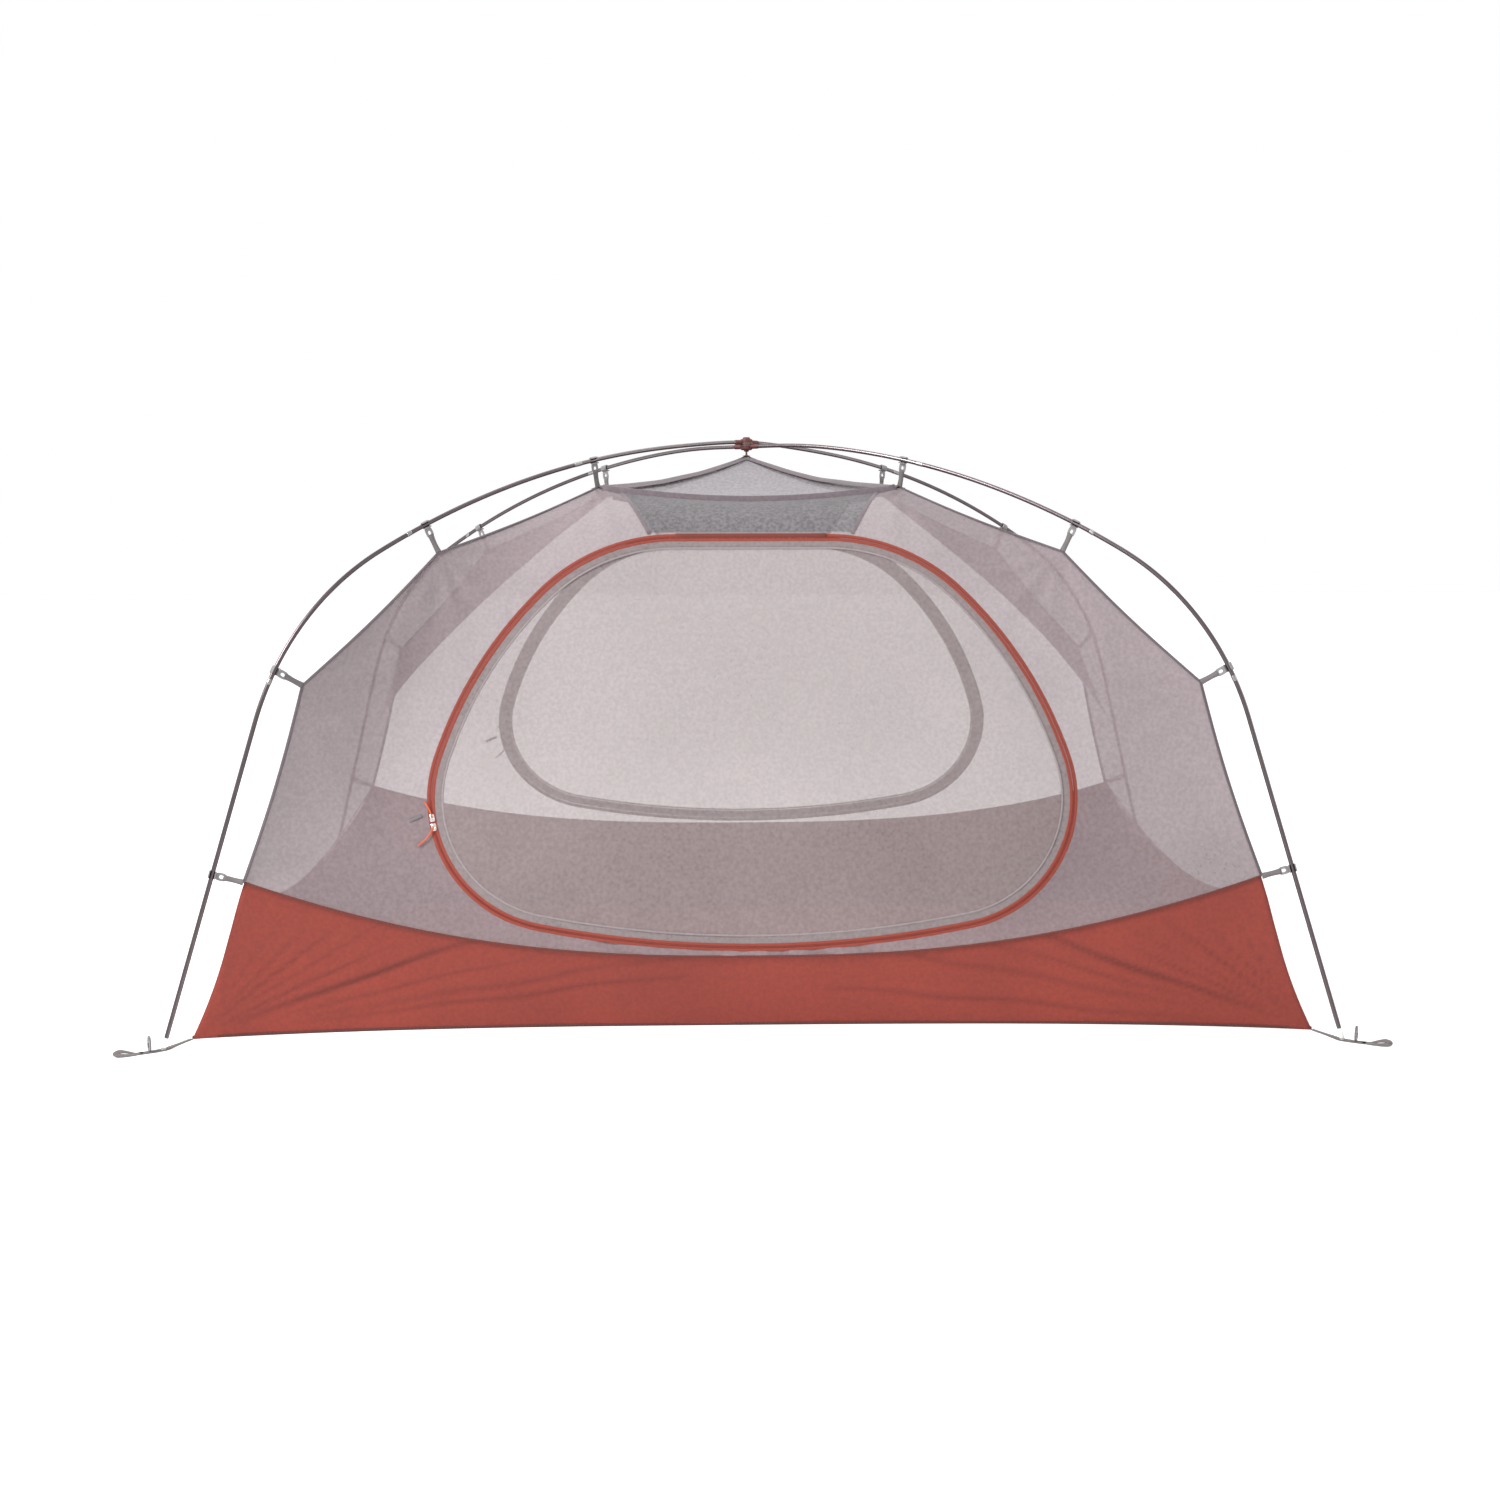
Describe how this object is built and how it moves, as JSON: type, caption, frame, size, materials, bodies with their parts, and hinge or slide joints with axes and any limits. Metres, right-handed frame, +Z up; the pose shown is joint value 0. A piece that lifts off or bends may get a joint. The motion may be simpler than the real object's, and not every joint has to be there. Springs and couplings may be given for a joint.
{
  "type": "dome tent",
  "caption": "Free-standing dome tent with a turned-up tub floor, see-through canopy clipped under two crossing arched poles, and a large zipped door on each long side.",
  "frame": {"origin": "on the ground under the roof peak", "axes": "+X along the long sides, front door facing -Y, +Z up"},
  "size_m": [2.5182, 1.759, 1.2349],
  "materials": {
    "tub_fabric": "coated woven fabric",
    "canopy_fabric": "thin translucent fabric",
    "mesh_fabric": "fine mesh",
    "zip_tape": "woven tape with coil",
    "slider_metal": "bright nickel",
    "pull_cord": "braided cord",
    "tip_plastic": "smooth white",
    "hub_plastic": "moulded",
    "hook_plastic": "moulded",
    "pole_tube": "anodised",
    "elastic_cord": "braided elastic",
    "clip_plastic": "translucent moulded",
    "webbing": "woven webbing",
    "buckle_plastic": "moulded"
  },
  "bodies": {
    "tent": {"back_wall": "canopy_fabric", "back_zip_wall_side": "zip_tape", "corner_webbing_back_left": "webbing", "corner_webbing_back_right": "webbing", "corner_webbing_front_left": "webbing", "corner_webbing_front_right": "webbing", "floor_tub": "tub_fabric", "front_wall": "canopy_fabric", "front_zip_wall_side": "zip_tape", "left_end_wall": "canopy_fabric", "peak_hook": "hook_plastic", "pole_a_crown": "pole_tube", "pole_a_left_leg": "pole_tube", "pole_a_right_leg": "pole_tube", "pole_b_crown": "pole_tube", "pole_b_left_leg": "pole_tube", "pole_b_right_leg": "pole_tube", "pole_hub": "hub_plastic", "pole_tip_back_left": "tip_plastic", "pole_tip_back_right": "tip_plastic", "pole_tip_front_left": "tip_plastic", "pole_tip_front_right": "tip_plastic", "right_end_wall": "canopy_fabric", "roof_mesh": "mesh_fabric", "shock_cord_a": "elastic_cord", "shock_cord_b": "elastic_cord"},
    "front_door": {"front_door": "canopy_fabric", "front_zip_door_side": "zip_tape"},
    "front_upper_slider": {"zip_slider_front_upper": "slider_metal", "zip_pull_front_upper": "pull_cord"},
    "front_lower_slider": {"zip_slider_front_lower": "slider_metal", "zip_pull_front_lower": "pull_cord"},
    "back_door": {"back_door": "canopy_fabric", "back_zip_door_side": "zip_tape"},
    "back_upper_slider": {"zip_slider_back_upper": "slider_metal", "zip_pull_back_upper": "pull_cord"},
    "back_lower_slider": {"zip_slider_back_lower": "slider_metal", "zip_pull_back_lower": "pull_cord"},
    "clip_front_left_1": {"clip_front_left_1": "clip_plastic"},
    "clip_front_left_2": {"clip_front_left_2": "clip_plastic"},
    "clip_front_left_3": {"clip_front_left_3": "clip_plastic"},
    "clip_front_left_4": {"clip_front_left_4": "clip_plastic"},
    "corner_buckle_front_left": {"corner_buckle_front_left": "buckle_plastic"},
    "clip_front_right_1": {"clip_front_right_1": "clip_plastic"},
    "clip_front_right_2": {"clip_front_right_2": "clip_plastic"},
    "clip_front_right_3": {"clip_front_right_3": "clip_plastic"},
    "clip_front_right_4": {"clip_front_right_4": "clip_plastic"},
    "corner_buckle_front_right": {"corner_buckle_front_right": "buckle_plastic"},
    "clip_back_left_1": {"clip_back_left_1": "clip_plastic"},
    "clip_back_left_2": {"clip_back_left_2": "clip_plastic"},
    "clip_back_left_3": {"clip_back_left_3": "clip_plastic"},
    "clip_back_left_4": {"clip_back_left_4": "clip_plastic"},
    "corner_buckle_back_left": {"corner_buckle_back_left": "buckle_plastic"},
    "clip_back_right_1": {"clip_back_right_1": "clip_plastic"},
    "clip_back_right_2": {"clip_back_right_2": "clip_plastic"},
    "clip_back_right_3": {"clip_back_right_3": "clip_plastic"},
    "clip_back_right_4": {"clip_back_right_4": "clip_plastic"},
    "corner_buckle_back_right": {"corner_buckle_back_right": "buckle_plastic"}
  },
  "joints": [
    {"name": "front_door_swing", "type": "hinge", "parent": "tent", "child": "front_door", "pos_m": [0, -0.39692, 1.00111], "axis": [-1, 0, 0], "range_deg": [0, 100]},
    {"name": "front_upper_slider_run", "type": "hinge", "parent": "front_door", "child": "front_upper_slider", "pos_m": [-0.38853, -0.5779, 0.46977], "axis": [0, 0.9466, -0.3224], "range_deg": [0, 24]},
    {"name": "front_lower_slider_run", "type": "hinge", "parent": "front_door", "child": "front_lower_slider", "pos_m": [-0.38853, -0.5779, 0.46977], "axis": [0, -0.9466, 0.3224], "range_deg": [0, 63]},
    {"name": "back_door_swing", "type": "hinge", "parent": "tent", "child": "back_door", "pos_m": [0, 0.39692, 1.00111], "axis": [1, 0, 0], "range_deg": [0, 100]},
    {"name": "back_upper_slider_run", "type": "hinge", "parent": "back_door", "child": "back_upper_slider", "pos_m": [-0.39853, 0.56555, 0.50603], "axis": [0, 0.9466, 0.3224], "range_deg": [0, 24]},
    {"name": "back_lower_slider_run", "type": "hinge", "parent": "back_door", "child": "back_lower_slider", "pos_m": [-0.39853, 0.56555, 0.50603], "axis": [0, -0.9466, -0.3224], "range_deg": [0, 62]},
    {"name": "clip_front_left_1_release", "type": "hinge", "parent": "tent", "child": "clip_front_left_1", "pos_m": [-1.02005, -0.74203, 0.31983], "axis": [-0.2558, -0.1791, -0.95], "range_deg": [0, 50]},
    {"name": "clip_front_left_2_release", "type": "hinge", "parent": "tent", "child": "clip_front_left_2", "pos_m": [-0.91597, -0.63198, 0.70408], "axis": [-0.3943, -0.276, -0.8765], "range_deg": [0, 90]},
    {"name": "clip_front_left_3_release", "type": "hinge", "parent": "tent", "child": "clip_front_left_3", "pos_m": [-0.6587, -0.46379, 0.97018], "axis": [-0.7392, -0.5175, -0.431], "range_deg": [0, 90]},
    {"name": "clip_front_left_4_release", "type": "hinge", "parent": "tent", "child": "clip_front_left_4", "pos_m": [-0.33623, -0.22816, 1.11194], "axis": [-0.7997, -0.5598, -0.2169], "range_deg": [0, 80]},
    {"name": "corner_buckle_front_left_tilt", "type": "hinge", "parent": "tent", "child": "corner_buckle_front_left", "pos_m": [-1.19198, -0.83285, 0.0043], "axis": [0.5331, -0.8461, 0], "range_deg": [-40, 80]},
    {"name": "clip_front_right_1_release", "type": "hinge", "parent": "tent", "child": "clip_front_right_1", "pos_m": [1.02005, -0.74203, 0.31983], "axis": [-0.2558, 0.1791, 0.95], "range_deg": [0, 50]},
    {"name": "clip_front_right_2_release", "type": "hinge", "parent": "tent", "child": "clip_front_right_2", "pos_m": [0.91597, -0.63198, 0.70408], "axis": [-0.3943, 0.276, 0.8765], "range_deg": [0, 90]},
    {"name": "clip_front_right_3_release", "type": "hinge", "parent": "tent", "child": "clip_front_right_3", "pos_m": [0.6587, -0.46379, 0.97018], "axis": [-0.7392, 0.5175, 0.431], "range_deg": [0, 90]},
    {"name": "clip_front_right_4_release", "type": "hinge", "parent": "tent", "child": "clip_front_right_4", "pos_m": [0.33623, -0.22816, 1.11194], "axis": [-0.7997, 0.5598, 0.2169], "range_deg": [0, 80]},
    {"name": "corner_buckle_front_right_tilt", "type": "hinge", "parent": "tent", "child": "corner_buckle_front_right", "pos_m": [1.19198, -0.83285, 0.0043], "axis": [0.5331, 0.8461, 0], "range_deg": [-40, 80]},
    {"name": "clip_back_left_1_release", "type": "hinge", "parent": "tent", "child": "clip_back_left_1", "pos_m": [-1.02005, 0.74203, 0.31983], "axis": [0.2558, -0.1791, 0.95], "range_deg": [0, 50]},
    {"name": "clip_back_left_2_release", "type": "hinge", "parent": "tent", "child": "clip_back_left_2", "pos_m": [-0.91597, 0.63198, 0.70408], "axis": [0.3943, -0.276, 0.8765], "range_deg": [0, 90]},
    {"name": "clip_back_left_3_release", "type": "hinge", "parent": "tent", "child": "clip_back_left_3", "pos_m": [-0.6587, 0.46379, 0.97018], "axis": [0.7392, -0.5175, 0.431], "range_deg": [0, 90]},
    {"name": "clip_back_left_4_release", "type": "hinge", "parent": "tent", "child": "clip_back_left_4", "pos_m": [-0.33623, 0.22816, 1.11194], "axis": [0.7997, -0.5598, 0.2169], "range_deg": [0, 80]},
    {"name": "corner_buckle_back_left_tilt", "type": "hinge", "parent": "tent", "child": "corner_buckle_back_left", "pos_m": [-1.19198, 0.83285, 0.0043], "axis": [-0.5331, -0.8461, 0], "range_deg": [-40, 80]},
    {"name": "clip_back_right_1_release", "type": "hinge", "parent": "tent", "child": "clip_back_right_1", "pos_m": [1.02005, 0.74203, 0.31983], "axis": [0.2558, 0.1791, -0.95], "range_deg": [0, 50]},
    {"name": "clip_back_right_2_release", "type": "hinge", "parent": "tent", "child": "clip_back_right_2", "pos_m": [0.91597, 0.63198, 0.70408], "axis": [0.3943, 0.276, -0.8765], "range_deg": [0, 90]},
    {"name": "clip_back_right_3_release", "type": "hinge", "parent": "tent", "child": "clip_back_right_3", "pos_m": [0.6587, 0.46379, 0.97018], "axis": [0.7392, 0.5175, -0.431], "range_deg": [0, 90]},
    {"name": "clip_back_right_4_release", "type": "hinge", "parent": "tent", "child": "clip_back_right_4", "pos_m": [0.33623, 0.22816, 1.11194], "axis": [0.7997, 0.5598, -0.2169], "range_deg": [0, 80]},
    {"name": "corner_buckle_back_right_tilt", "type": "hinge", "parent": "tent", "child": "corner_buckle_back_right", "pos_m": [1.19198, 0.83285, 0.0043], "axis": [-0.5331, 0.8461, 0], "range_deg": [-40, 80]}
  ]
}
